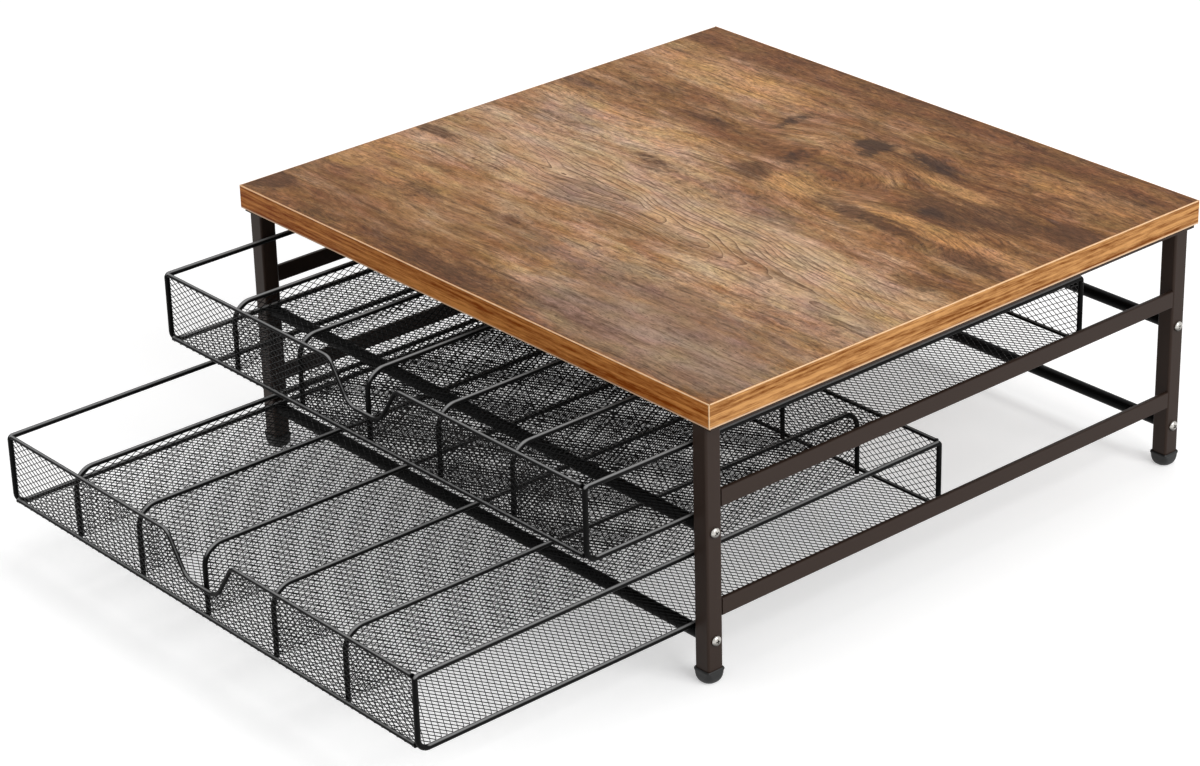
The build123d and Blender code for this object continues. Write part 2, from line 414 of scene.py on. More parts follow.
def shift(tree, place, drift, reach):
    """A place moved by a noise colour, by up to half this reach in metres either way."""
    moved = add(tree, "VectorMath", {"operation": "MULTIPLY_ADD", 1: reach}, {0: drift, 2: place})
    half = tuple(0.5 * metres for metres in reach)
    return add(tree, "VectorMath", {"operation": "SUBTRACT", 1: half}, {0: moved})


def tinted(tree, base, tint, factor, strength=1.0):
    """The base colour, taken towards a tint by a factor times this strength."""
    if strength != 1.0:
        factor = calc(tree, "MULTIPLY", factor, strength)
    return add(tree, "Mix", {"data_type": "RGBA", "B": linear(tint)}, {"A": base, "Factor": factor})


def mixed(tree, first, second, factor):
    """A blend of two constant colours."""
    return add(tree, "Mix", {"data_type": "RGBA", "A": tuple(first), "B": tuple(second)}, {"Factor": factor})


def zones(tree, place, spots):
    """How far a place lies in any of these ovals.

    Each oval has its centre and half size along X and Y in millimetres, and its strength.
    """
    whole = None
    for x, y, half_x, half_y, strength in spots:
        per_metre = (1 / (half_x * MM), 1 / (half_y * MM), 0.0)
        centre = (-x / half_x, -y / half_y, 0.0)
        offset = add(tree, "VectorMath", {"operation": "MULTIPLY_ADD", 1: per_metre, 2: centre}, {0: place})
        distance = add(tree, "VectorMath", {"operation": "LENGTH"}, {0: offset})
        oval = between(tree, distance, 0.3, 1.3, strength, 0.0, smooth=True)
        whole = oval if whole is None else calc(tree, "MAXIMUM", whole, oval)
    return whole


def surface(tree, values, links):
    """The surface shader, wired to the output."""
    shader = add(tree, "BsdfPrincipled", values, links)
    add(tree, "OutputMaterial", {}, {"Surface": shader})


# Ovals of the printed wood: centre and half size along X and Y in millimetres, and strength
BOWED_WOOD = (
    (15, 88, 56, 34, 1.0),
    (98, 50, 50, 32, 0.8),
    (-20, 20, 60, 26, 0.5),
)
CHARRED_WOOD = (
    (98, 66, 30, 16, 0.74),
    (124, 72, 22, 12, 0.6),
    (130, 78, 36, 15, 0.62),
    (168, 88, 24, 16, 0.72),
    (-8, 34, 17, 13, 0.6),
    (70, 33, 38, 8, 0.66),
    (152, 29, 32, 9, 0.7),
    (-168, -49, 18, 5, 0.9),
    (-74, 67, 26, 5, 0.6),
    (-160, 55, 28, 5, 0.5),
    (-174, -154, 20, 14, 0.85),
    (-20, -157, 48, 9, 0.62),
    (-44, -98, 22, 6, 0.42),
    (-108, -106, 24, 10, 0.5),
    (-55, 8, 18, 6, 0.46),
    (150, -5, 24, 10, 0.42),
    (55, -150, 60, 9, 0.36),
)
BLACK_KNOTS = (
    (14, 104, 13, 10, 1.0),
    (20, 95, 8, 8, 0.6),
    (54, 107, 22, 9, 0.66),
    (95, 62, 10, 7, 0.6),
    (-42, 98, 6, 18, 0.5),
    (-6, 64, 12, 14, 0.4),
)
UMBER_WOOD = (
    (20, 182, 420, 46, 1.0),
    (110, 108, 120, 40, 0.75),
    (130, 60, 90, 44, 0.6),
    (-60, 66, 130, 16, 0.45),
    (0, -176, 420, 42, 0.75),
    (-140, -150, 70, 30, 0.35),
    (-60, 140, 90, 16, 0.3),
    (130, 146, 110, 28, 1.0),
    (168, 0, 34, 26, 0.55),
    (-50, -96, 60, 18, 0.35),
)
# Paler ovals of the print, partly a painted sheen over the middle of the top
PALE_WOOD_AND_SHEEN = (
    (-112, 112, 74, 18, 0.6),
    (-100, 22, 90, 26, 0.85),
    (-60, -14, 170, 20, 0.9),
    (70, -26, 190, 26, 0.95),
    (130, -62, 110, 22, 0.75),
    (0, -88, 130, 18, 0.45),
    (-150, -60, 44, 16, 0.5),
    (-100, -46, 100, 26, 0.7),
    (100, -142, 120, 26, 0.8),
)
ARCHED_WOOD = (
    (0, -36, 215, 32, 1.0),
    (110, -48, 120, 22, 0.7),
)
SMOOTH_WOOD = ARCHED_WOOD + (
    (-90, -112, 110, 56, 0.75),
    (110, -128, 110, 44, 0.8),
)
# Greyer ovals, strongest towards the front right, partly a painted sheen
GREYED_WOOD_AND_SHEEN = (
    (110, -138, 100, 34, 1.0),
    (70, -104, 120, 18, 0.6),
    (-130, 18, 28, 18, 0.5),
    (0, 2, 80, 9, 0.4),
    (-45, -48, 36, 14, 0.62),
    (150, -70, 60, 30, 0.4),
)
GOLDEN_WOOD = (
    (-112, 118, 70, 18, 0.85),
    (122, 44, 66, 8, 0.8),
    (84, 90, 46, 7, 0.65),
    (-168, -88, 24, 32, 0.5),
    (-120, -105, 46, 22, 0.4),
    (20, 36, 22, 12, 0.75),
    (130, 130, 60, 16, 0.45),
    (-92, 34, 56, 16, 0.4),
    (150, -50, 36, 5, 0.5),
)
RED_BROWN_WOOD = (
    (-120, 152, 76, 14, 0.65),
    (40, 150, 180, 16, 0.5),
    (-112, 84, 70, 10, 0.6),
    (-10, 60, 110, 12, 0.65),
    (60, -4, 110, 9, 0.38),
    (-60, -150, 130, 16, 0.4),
    (-150, -118, 44, 22, 0.62),
    (-32, 118, 56, 12, 0.6),
)


def stained(tree, wood, tint, strength, grain, spots, size, seed):
    """The wood with a stain: strongest in the middle of its ovals, and frayed along the grain."""
    fray = marks(tree, grain, size, 5.0, seed, 0.72)
    cover = calc(tree, "MULTIPLY_ADD", fray, 1.9, zones(tree, grain, spots))
    return tinted(tree, wood, tint, between(tree, cover, 1.05, 1.55), strength)


def growth_rings(tree, place):
    """Thin dark lines in nested arches whose tips point to the right, and the pale side of each line."""
    split = add(tree, "SeparateXYZ", {}, {"Vector": place})
    # The arches lie on an axis that climbs slightly, each is a hyperbola, and knots make them waver
    tip = 110 * MM
    axis = -44 * MM
    slope = 0.1
    reach = 66 * MM
    half = 11 * MM
    opening = 2.3
    waver = 4.2
    arches_to_a_reach = 1.6
    level = calc(tree, "MULTIPLY_ADD", split.outputs["X"], slope, split.outputs["Y"])
    ahead = calc(tree, "MULTIPLY_ADD", split.outputs["X"], -1 / reach, tip / reach)
    side = calc(tree, "MULTIPLY_ADD", level, 1 / half, -axis / half)
    spread = calc(tree, "SQRT", calc(tree, "MULTIPLY_ADD", side, side, 0.25))
    bow = calc(tree, "MULTIPLY_ADD", spread, -opening, ahead)
    wobble = marks(tree, place, (58, 24, 20), 2.0, 7.0, 0.4)
    bow = calc(tree, "MULTIPLY_ADD", wobble, waver, bow)
    rings = calc(tree, "FRACT", calc(tree, "MULTIPLY", bow, arches_to_a_reach))
    # The lines stay thin at the tips, where the rings stand far apart
    wide = between(tree, calc(tree, "ABSOLUTE", side), 0.0, 1.0, 0.14, 0.42)
    line = between(tree, calc(tree, "DIVIDE", rings, wide), 0.0, 1.0, 1.0, 0.0)
    rim = between(tree, rings, 0.7, 1.0)
    faded = between(tree, marks(tree, place, (44, 10, 20), 1.0, 8.0), 0.32, 0.52, 0.5)
    seen = calc(tree, "MULTIPLY", zones(tree, place, ARCHED_WOOD), faded)
    return calc(tree, "MULTIPLY", line, seen), calc(tree, "MULTIPLY", rim, seen)


def laminate():
    """Melamine laminate over particle board, printed with rustic wood: satin, with a faint pressed grain."""
    material, tree, place = new_material("melamine laminate")
    drift = marks(tree, place, (70, 26, 40), 4.0).outputs["Color"]
    grain = shift(tree, place, drift, (22 * MM, 14 * MM, 0.0))

    # The lines of the grain bow round the knots
    lift = calc(tree, "MULTIPLY", zones(tree, grain, BOWED_WOOD), -16 * MM)
    lift = add(tree, "CombineXYZ", {}, {"Y": lift})
    lines = add(tree, "VectorMath", {"operation": "ADD"}, {0: grain, 1: lift})

    # Broad tones along the grain, paler in the middle and darker towards the rear and the front edge; the
    # paler middle is partly a painted sheen
    tone = marks(tree, lines, (46, 9, 30), 6.0, 1.0, 0.68)
    for spots, gain in ((PALE_WOOD_AND_SHEEN, 0.28), (UMBER_WOOD, -0.2)):
        tone = calc(tree, "MULTIPLY_ADD", zones(tree, grain, spots), gain, tone)
    stops = ((0.22, "#502e14"), (0.38, "#7f552f"), (0.5, "#9b714b"), (0.62, "#b68e6a"), (0.78, "#c9a683"))
    wood = add(tree, "ValToRGB", {"stops": stops}, {"Fac": tone})
    wood = stained(tree, wood, "#754a29", 0.62, grain, RED_BROWN_WOOD, (18, 5, 20), 3.0)
    wood = stained(tree, wood, "#c18f5c", 0.7, grain, GOLDEN_WOOD, (18, 5, 20), 4.0)
    # The greyed stain is partly a painted sheen towards the front right
    wood = stained(tree, wood, "#80695a", 0.62, grain, GREYED_WOOD_AND_SHEEN, (18, 5, 20), 5.0)
    # Stain has soaked in unevenly, so each colour channel drifts on its own over some centimetres
    soak = marks(tree, grain, (24, 10, 20), 1.0, 21.0).outputs["Color"]
    ranges = {
        "data_type": "FLOAT_VECTOR",
        "From Min": (0.34,) * 3,
        "From Max": (0.66,) * 3,
        "To Min": (0.95, 0.96, 0.88),
        "To Max": (1.05, 1.04, 1.14),
    }
    cast = add(tree, "MapRange", ranges, {"Vector": soak})
    wood = add(tree, "VectorMath", {"operation": "MULTIPLY"}, {0: wood, 1: cast})
    wood = stained(tree, wood, "#4f301a", 0.8, grain, CHARRED_WOOD, (12, 3, 20), 9.0)
    wood = stained(tree, wood, "#2e1c13", 0.85, grain, BLACK_KNOTS, (9, 4, 20), 10.0)
    rings, rims = growth_rings(tree, place)
    wood = tinted(tree, wood, "#50331d", rings, 0.92)
    wood = tinted(tree, wood, "#dcbb97", rims, 0.4)

    # Dark lines along the grain, short fibres about a millimetre thick, and pores
    long_lines = marks(tree, lines, (38, 1.7, 9), 4.0, 11.0, 0.6)
    wood = tinted(tree, wood, "#482c17", between(tree, long_lines, 0.52, 0.68, 0.0, 0.7))
    fibres = marks(tree, lines, (5.5, 1.6, 5), 4.0, 13.0, 0.76)
    shade = between(tree, fibres, 0.32, 0.68, 0.47, 1.59)
    rough = between(tree, zones(tree, grain, SMOOTH_WOOD), 0.0, 0.8, 1.0, 0.55)
    darken = {"data_type": "RGBA", "blend_type": "MULTIPLY"}
    wood = add(tree, "Mix", darken, {"Factor": rough, "A": wood, "B": shade})
    pores = marks(tree, lines, (3.5, 0.6, 5), 1.0, 17.0)
    wood = tinted(tree, wood, "#3a2414", between(tree, pores, 0.58, 0.7, 0.0, 0.6))
    gloss = between(tree, fibres, 0.3, 0.7, 0.55, 0.42)
    bump = add(tree, "Bump", {"Strength": 0.35, "Distance": 0.08 * MM}, {"Height": fibres})
    values = {"IOR": 1.5, "Specular IOR Level": 0.08}
    surface(tree, values, {"Base Color": wood, "Roughness": gloss, "Normal": bump})
    return material


def band_print():
    """PVC edge band printed with wood: smoother and more orange than the top, its grain runs lengthwise."""
    material, tree, place = new_material("PVC edge band")
    split = add(tree, "SeparateXYZ", {}, {"Vector": place})
    run = calc(tree, "ADD", split.outputs["X"], split.outputs["Y"])
    strip = add(tree, "CombineXYZ", {}, {"X": run, "Z": split.outputs["Z"]})
    streaks = marks(tree, strip, (13, 1000, 1.1), 5.0, 0.0, 0.7)
    stripes = marks(tree, strip, (120, 1000, 2.2), 2.0, 6.0)
    blend = between(tree, calc(tree, "MULTIPLY_ADD", stripes, 0.9, streaks), 0.78, 1.1)
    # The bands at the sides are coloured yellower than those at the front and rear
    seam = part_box("edge_band_right")[0].x
    across = calc(tree, "ABSOLUTE", split.outputs["X"])
    side = between(tree, across, seam - 0.2 * MM, seam + 0.2 * MM)
    dark = mixed(tree, linear("#863c00"), linear("#743c04"), side)
    light = mixed(tree, linear("#d38c48"), linear("#cf975c"), side)
    wood = add(tree, "Mix", {"data_type": "RGBA"}, {"Factor": blend, "A": dark, "B": light})
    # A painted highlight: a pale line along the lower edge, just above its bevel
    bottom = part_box("edge_band_front")[0].z
    painted_highlight_line = between(tree, split.outputs["Z"], bottom + 1.2 * MM, bottom + 0.7 * MM, 0.0, 0.8)
    wood = tinted(tree, wood, "#e8c7a8", painted_highlight_line)
    bump = add(tree, "Bump", {"Strength": 0.2, "Distance": 0.1 * MM}, {"Height": streaks})
    values = {"Roughness": 0.42, "IOR": 1.52, "Specular IOR Level": 0.06}
    surface(tree, values, {"Base Color": wood, "Normal": bump})
    return material


def band_trim():
    """Arris of the PVC edge band: the paler body that the trimming knife shows, painted paler still as a
    highlight along the edge.
    """
    material, tree, place = new_material("trimmed PVC")
    scrape = marks(tree, place, (3, 3, 0.5))
    tint = mixed(tree, linear("#dca468"), linear("#f5dab8"), scrape)
    surface(tree, {"Roughness": 0.5, "IOR": 1.52, "Specular IOR Level": 0.2}, {"Base Color": tint})
    return material


def sheen(tree, shade, tint):
    """A painted highlight: a pale line painted along the upper side of the satin black wires, where light
    from above would catch them.
    """
    normal = add(tree, "NewGeometry").outputs["Normal"]
    # The painted highlight is strongest on faces that point up, a little to the right and towards the front
    upward = (0.35, -0.35, 0.87)
    facing = add(tree, "VectorMath", {"operation": "DOT_PRODUCT", 1: upward}, {0: normal})
    upper = between(tree, facing.outputs["Value"], 0.76, 0.96, smooth=True)
    return tinted(tree, shade, tint, upper)


def scaled(tint, factor):
    """A tint made darker or paler."""
    return tuple(factor * channel for channel in tint[:3]) + (1.0,)


# Powder coats by their colour: material, grain of the peel in millimetres, glare, glint: the tint of a wire's
# painted highlight.
# Thin wires and bars reflect less of the white room than broad faces do.
BROAD_GLARE = 0.15
THIN_GLARE = 0.07
COATS = {
    "powder_coat": ("brown powder coated steel", 0.6, BROAD_GLARE, None),
    # Cross bars: near black as painted shade under the board and drawers
    "bar_coat": ("black powder coated bar", 0.6, THIN_GLARE, None),
    "wire_coat": ("black powder coated wire", 0.5, THIN_GLARE, "#868686"),
    "mesh_coat": ("black powder coated expanded steel", 0.5, BROAD_GLARE, None),
}


def powder_coat(name, tint, grain, glare, glint):
    """Baked powder coat on steel: dark satin, with the fine orange peel of the melted powder."""
    material, tree, place = new_material(name)
    peel = marks(tree, place, (grain,) * 3)
    gloss = between(tree, peel, 0.0, 1.0, 0.36, 0.5)
    shade = mixed(tree, scaled(tint, 0.8), tint, peel)
    # Wires get a painted highlight along their upper side, in the glint's tint
    if glint:
        shade = sheen(tree, shade, glint)
    bump = add(tree, "Bump", {"Strength": 0.25, "Distance": 0.05 * MM}, {"Height": peel})
    values = {"IOR": 1.5, "Specular IOR Level": glare}
    surface(tree, values, {"Base Color": shade, "Roughness": gloss, "Normal": bump})
    return material


def polypropylene(tint):
    """Moulded polypropylene: soft black sheen over the fine spark texture of its mould."""
    material, tree, place = new_material("moulded polypropylene")
    spark = marks(tree, place, (0.25,) * 3, 3.0)
    gloss = between(tree, spark, 0.0, 1.0, 0.3, 0.5)
    worn = marks(tree, place, (4,) * 3)
    shade = mixed(tree, tint, scaled(tint, 1.5), worn)
    bump = add(tree, "Bump", {"Strength": 0.3, "Distance": 0.03 * MM}, {"Height": spark})
    values = {"IOR": 1.49, "Specular IOR Level": 0.35}
    surface(tree, values, {"Base Color": shade, "Roughness": gloss, "Normal": bump})
    return material


def plated_steel(tint):
    """Nickel plated steel: bright metal, hazed by wear, with a painted dark reflection along its lower side.
    """
    material, tree, place = new_material("nickel plated steel")
    haze = marks(tree, place, (0.6,) * 3, 3.0)
    gloss = between(tree, haze, 0.0, 1.0, 0.16, 0.34)
    shade = mixed(tree, scaled(tint, 0.75), tint, haze)
    # Painted reflection: faces that point down are darkened, as if they mirrored the dark frame
    facing = add(tree, "SeparateXYZ", {}, {"Vector": add(tree, "NewGeometry").outputs["Normal"]})
    shade = tinted(tree, shade, "#3c3936", between(tree, facing.outputs["Z"], 0.1, -0.35, 0.0, 0.9))
    surface(tree, {"Metallic": 1.0}, {"Base Color": shade, "Roughness": gloss})
    return material


def finish(name, make, *choices):
    """A material by its name, made the first time that a piece asks for it."""
    return bpy.data.materials.get(name) or make(*choices)


def coat(context, key):
    """The powder coat that goes with one of the rack's colours."""
    name, *choices = COATS[key]
    return finish(name, powder_coat, name, getattr(context.scene.rack_colours, key), *choices)


# Pieces of the rack
class RACK_OT_board(Operator):
    """Give the board its printed laminate"""

    bl_idname = "rack.board"
    bl_label = "Board"

    def execute(self, context):
        repaint("top_board", finish("melamine laminate", laminate))
        return {"FINISHED"}


class RACK_OT_edge_bands(Operator):
    """Make the four edge bands with trimmed arrises"""

    bl_idname = "rack.edge_bands"
    bl_label = "Edge Bands"

    def execute(self, context):
        arris = context.scene.rack_sizes.band_arris
        near = arris / 10
        materials = [finish("PVC edge band", band_print), finish("trimmed PVC", band_trim)]
        centre = sum(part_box("top_board"), Vector()) / 2
        for side in ENDS + SIDES:
            node = f"edge_band_{side}"
            low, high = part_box(node)
            middle = (low + high) / 2
            axis = 1 if side in ENDS else 0
            outward = 1 if middle[axis] > centre[axis] else -1
            outer = high[axis] if outward > 0 else low[axis]
            shape = bmesh.new()
            bmesh.ops.create_cube(shape, matrix=Matrix.LocRotScale(middle, None, high - low))
            edges = [e for e in shape.edges if all(abs(v.co[axis] - outer) < near for v in e.verts)]
            if side in SIDES:
                edges = [e for e in edges if abs(e.verts[0].co.z - e.verts[1].co.z) < near]
            # The bevels take the second material, the arris painted pale as a highlight
            style = {"segments": 4, "profile": 0.5, "affect": "EDGES", "material": 1, "clamp_overlap": True}
            bmesh.ops.bevel(shape, geom=edges, offset=arris, **style)
            name = node + "_strip"
            placed(name, mesh_from(name, shape), materials, "edge_band", node)
        return {"FINISHED"}


class RACK_OT_legs(Operator):
    """Make the four legs of square tube"""

    bl_idname = "rack.legs"
    bl_label = "Legs"

    def execute(self, context):
        sizes = context.scene.rack_sizes
        material = coat(context, "powder_coat")
        for end in ENDS:
            for side in SIDES:
                node = f"leg_{end}_{side}"
                low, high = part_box(node)
                width = high.x - low.x
                centre = (low + high) / 2
                outer = rounded_outline(width, width, sizes.leg_rounding, 8)
                bore = width - 2 * sizes.leg_wall
                inner = rounded_outline(bore, bore, sizes.leg_rounding / 4, 8)
                walls = ((outer, low.z), (outer, high.z), (inner, high.z), (inner, low.z))
                rings = [level_ring(outline, centre, z) for outline, z in walls]
                piece(node + "_tube", skin(rings, closed=True), material, "powder_coat", node)
        return {"FINISHED"}


# Moulding of a foot cap in millimetres. Its belly: height, inset of the sides, radius of the corners
FOOT_BELLY = (
    (0.0, 1.7, 3.6), (0.15, 1.3, 3.9), (0.6, 0.7, 4.1),
    (1.3, 0.3, 4.0), (2.3, 0.06, 3.5), (3.6, 0.0, 2.8),
)
# Its lip: depth below the top, inset, radius. Its pocket: depth below the top, gap to the tube, radius
FOOT_LIP = ((1.7, 0.06, 2.0), (1.3, 0.0, 1.5), (0.7, 0.0, 1.3), (0.15, 0.3, 1.1))
FOOT_POCKET = ((0.0, 0.3, 1.0), (0.3, 0.12, 1.0), (2.0, 0.1, 1.0))


class RACK_OT_feet(Operator):
    """Make the four moulded foot caps"""

    bl_idname = "rack.feet"
    bl_label = "Feet"

    def execute(self, context):
        material = finish("moulded polypropylene", polypropylene, context.scene.rack_colours.foot_plastic)
        for end in ENDS:
            for side in SIDES:
                node = f"foot_{end}_{side}"
                low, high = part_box(node)
                leg_low, leg_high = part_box(f"leg_{end}_{side}")
                centre = (low + high) / 2
                half = (high.x - low.x) / 2
                tube = (leg_high.x - leg_low.x) / 2
                height = high.z - low.z
                profile = [(z * MM, half - inset * MM, rounding) for z, inset, rounding in FOOT_BELLY]
                profile += [(height - z * MM, half - inset * MM, rounding) for z, inset, rounding in FOOT_LIP]
                profile += [(height - z * MM, tube + gap * MM, rounding) for z, gap, rounding in FOOT_POCKET]
                rings = []
                for z, reach, rounding in profile:
                    outline = rounded_outline(2 * reach, 2 * reach, min(rounding * MM, 0.98 * reach), 6)
                    rings.append(level_ring(outline, centre, low.z + z))
                piece(node + "_cap", skin(rings), material, "foot_plastic", node)
        return {"FINISHED"}


class RACK_OT_rails_and_bars(Operator):
    """Make the side rails and cross bars, and coat the strips under the board"""

    bl_idname = "rack.rails_and_bars"
    bl_label = "Rails and Bars"

    def execute(self, context):
        material = coat(context, "powder_coat")
        rounding = context.scene.rack_sizes.rail_rounding
        for side in SIDES:
            repaint(f"top_strip_{side}", material)
        for level in LEVELS:
            for side in SIDES:
                node = f"side_rail_{level}_{side}"
                low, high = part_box(node)
                centre = (low + high) / 2
                outline = rounded_outline(high.x - low.x, high.z - low.z, rounding, 5)
                rings = []
                for y in (low.y, high.y):
                    rings.append([Vector((centre.x + p.x, y, centre.z + p.y)) for p in outline])
                piece(node + "_flat", skin(rings), material, "powder_coat", node)
            for end in ENDS:
                node = f"cross_bar_{level}_{end}"
                low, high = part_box(node)
                centre = (low + high) / 2
                path = [Vector((x, centre.y, centre.z)) for x in (low.x, high.x)]
                geometry = wire(path, Vector((0, 0, 1)), (high.z - low.z) / 2, sides=32)
                piece(node + "_round", geometry, coat(context, "bar_coat"), "powder_coat", node)
        return {"FINISHED"}


SCREW_HEAD_RADIUS = 2.7 * MM
SCREW_HEAD_HEIGHT = 1.8 * MM
# The dome of a pan head, as shares of its radius and of its height
SCREW_DOME = (
    (0.86, 0.0), (0.97, 0.06), (1.0, 0.2), (0.98, 0.42),
    (0.9, 0.64), (0.74, 0.82), (0.5, 0.94), (0.24, 0.99),
)


def screw_head(radius, height, sides=40):
    """Mesh of a domed head with a cross recess, its underside at the origin and its top towards +Z."""
    turns = [2 * math.pi * i / sides for i in range(sides)]
    circle = [Vector((radius * math.cos(turn), radius * math.sin(turn), 0.0)) for turn in turns]
    rings = [[reach * point + Vector((0, 0, height * z)) for point in circle] for reach, z in SCREW_DOME]
    cutter = bmesh.new()
    # Each slot of the cross runs down to a shorter bottom inside the head
    slot_length = 1.1 * radius
    slot_width = 0.26 * radius
    bottom_share = 0.45
    bottom = height * 0.35
    above = height * 1.2
    for size in ((slot_length, slot_width), (slot_width, slot_length)):
        bar = bmesh.ops.create_cube(cutter, matrix=Matrix.Diagonal((*size, above, 1.0)))
        lengthwise = size.index(slot_length)
        for vert in bar["verts"]:
            if vert.co.z < 0:
                vert.co[lengthwise] *= bottom_share
                vert.co.z = bottom
            else:
                vert.co.z = above
    whole = new_object("head", mesh_of("screw head", *skin(rings)))
    tool = new_object("recess", mesh_from("screw recess", cutter))
    cut = whole.modifiers.new("cross", "BOOLEAN")
    cut.operation = "DIFFERENCE"
    cut.solver = "EXACT"
    cut.object = tool
    cut.use_self = True
    graph = bpy.context.evaluated_depsgraph_get()
    result = bpy.data.meshes.new_from_object(whole.evaluated_get(graph))
    for obj in (whole, tool):
        bpy.data.objects.remove(obj)
    return result


class RACK_OT_screws(Operator):
    """Make the pan heads of the frame's screws, and plate the board's"""

    bl_idname = "rack.screws"
    bl_label = "Screws"

    def execute(self, context):
        material = finish("nickel plated steel", plated_steel, context.scene.rack_colours.plated_steel)
        head = screw_head(SCREW_HEAD_RADIUS, SCREW_HEAD_HEIGHT)
        low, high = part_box("frame_screws")
        group = bmesh.new()
        for level in LEVELS:
            for end in ENDS:
                bar_low, bar_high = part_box(f"cross_bar_{level}_{end}")
                centre = (bar_low + bar_high) / 2
                # The crosses of the heads stand at another angle on each bar
                spin = Matrix.Rotation(centre.y * 40 + centre.z * 9, 4, "Z")
                for face, turn in ((low.x + SCREW_HEAD_HEIGHT, -90), (high.x - SCREW_HEAD_HEIGHT, 90)):
                    before = len(group.verts)
                    group.from_mesh(head)
                    group.verts.ensure_lookup_table()
                    place = Matrix.Translation((face, centre.y, centre.z))
                    place = place @ Matrix.Rotation(math.radians(turn), 4, "Y") @ spin
                    bmesh.ops.transform(group, matrix=place, verts=group.verts[before:])
        name = "frame_screw_heads"
        placed(name, mesh_from(name, group), [material], "screw_steel", "frame_screws", sharp=30.0)
        repaint("board_screws", material)
        return {"FINISHED"}


# Pieces of the drawers
def drawer_box(drawer, part):
    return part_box(f"{drawer}_{part}")


def drawer_middle(drawer, part):
    return sum(drawer_box(drawer, part), Vector()) / 2


def rim_line(drawer, sizes):
    """Centre line of the front rim, as places along X with their heights."""
    low, high = drawer_box(drawer, "front_rim_wire")
    radius = (high.y - low.y) / 2
    top, bottom = high.z - radius, low.z + radius
    corners = [
        (low.x, top),
        (-sizes.notch_top_half, top),
        (-sizes.notch_bottom_half, bottom),
        (sizes.notch_bottom_half, bottom),
        (sizes.notch_top_half, top),
        (high.x, top),
    ]
    bends = [sizes.notch_top_bend, sizes.notch_bottom_bend]
    return bent(corners, bends + bends[::-1])


def divider_line(drawer, sizes):
    """Centre line of a divider wire, as places along Y with their heights, and the wire's radius."""
    low, high = drawer_box(drawer, "divider_wires")
    first, last = (drawer_middle(drawer, f"divider_mesh_{i}").x for i in (DIVIDERS[0], DIVIDERS[-1]))
    radius = (high.x - low.x - (last - first)) / 2
    y0, y1, top = low.y + radius, high.y - radius, high.z - radius
    return bent([(y0, low.z), (y0, top), (y1, top), (y1, low.z)], [sizes.divider_bend] * 2, steps=10), radius


class RACK_OT_drawer_wires(Operator):
    """Make the side loops, rims, bottom wires and divider wires of both drawers"""

    bl_idname = "rack.drawer_wires"
    bl_label = "Drawer Wires"

    def execute(self, context):
        sizes = context.scene.rack_sizes
        material = coat(context, "wire_coat")
        x_axis, y_axis, z_axis = Vector((1, 0, 0)), Vector((0, 1, 0)), Vector((0, 0, 1))
        for drawer in LEVELS:
            for side in SIDES:
                node = f"{drawer}_side_loop_{side}"
                low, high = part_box(node)
                centre = (low + high) / 2
                radius = (high.x - low.x) / 2
                y0, y1, z0, z1 = low.y + radius, high.y - radius, low.z + radius, high.z - radius
                bends = [sizes.runner_bend, sizes.runner_bend, sizes.side_top_bend, sizes.side_top_bend]
                line = bent([(y0, z0), (y1, z0), (y1, z1), (y0, z1)], bends, closed=True)
                path = [Vector((centre.x, y, z)) for y, z in line]
                piece(node + "_wire", wire(path, x_axis, radius, closed=True), material, "black_wire", node)
            node = f"{drawer}_front_rim_wire"
            low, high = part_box(node)
            y = (low.y + high.y) / 2
            path = [Vector((x, y, z)) for x, z in rim_line(drawer, sizes)]
            geometry = wire(path, y_axis, (high.y - low.y) / 2, welded=True)
            piece(node + "_bent", geometry, material, "black_wire", node)
            for part in ("rear_rim_wire", "front_bottom_wire", "rear_bottom_wire"):
                node = f"{drawer}_{part}"
                low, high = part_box(node)
                centre = (low + high) / 2
                path = [Vector((x, centre.y, centre.z)) for x in (low.x, 0.0, high.x)]
                geometry = wire(path, z_axis, (high.y - low.y) / 2, welded=True)
                piece(node + "_straight", geometry, material, "black_wire", node)
            line, radius = divider_line(drawer, sizes)
            bows = []
            for number in DIVIDERS:
                x = drawer_middle(drawer, f"divider_mesh_{number}").x
                bows.append(wire([Vector((x, y, z)) for y, z in line], x_axis, radius))
            node = f"{drawer}_divider_wires"
            piece(node + "_bows", joined(*bows), material, "black_wire", node)
        return {"FINISHED"}


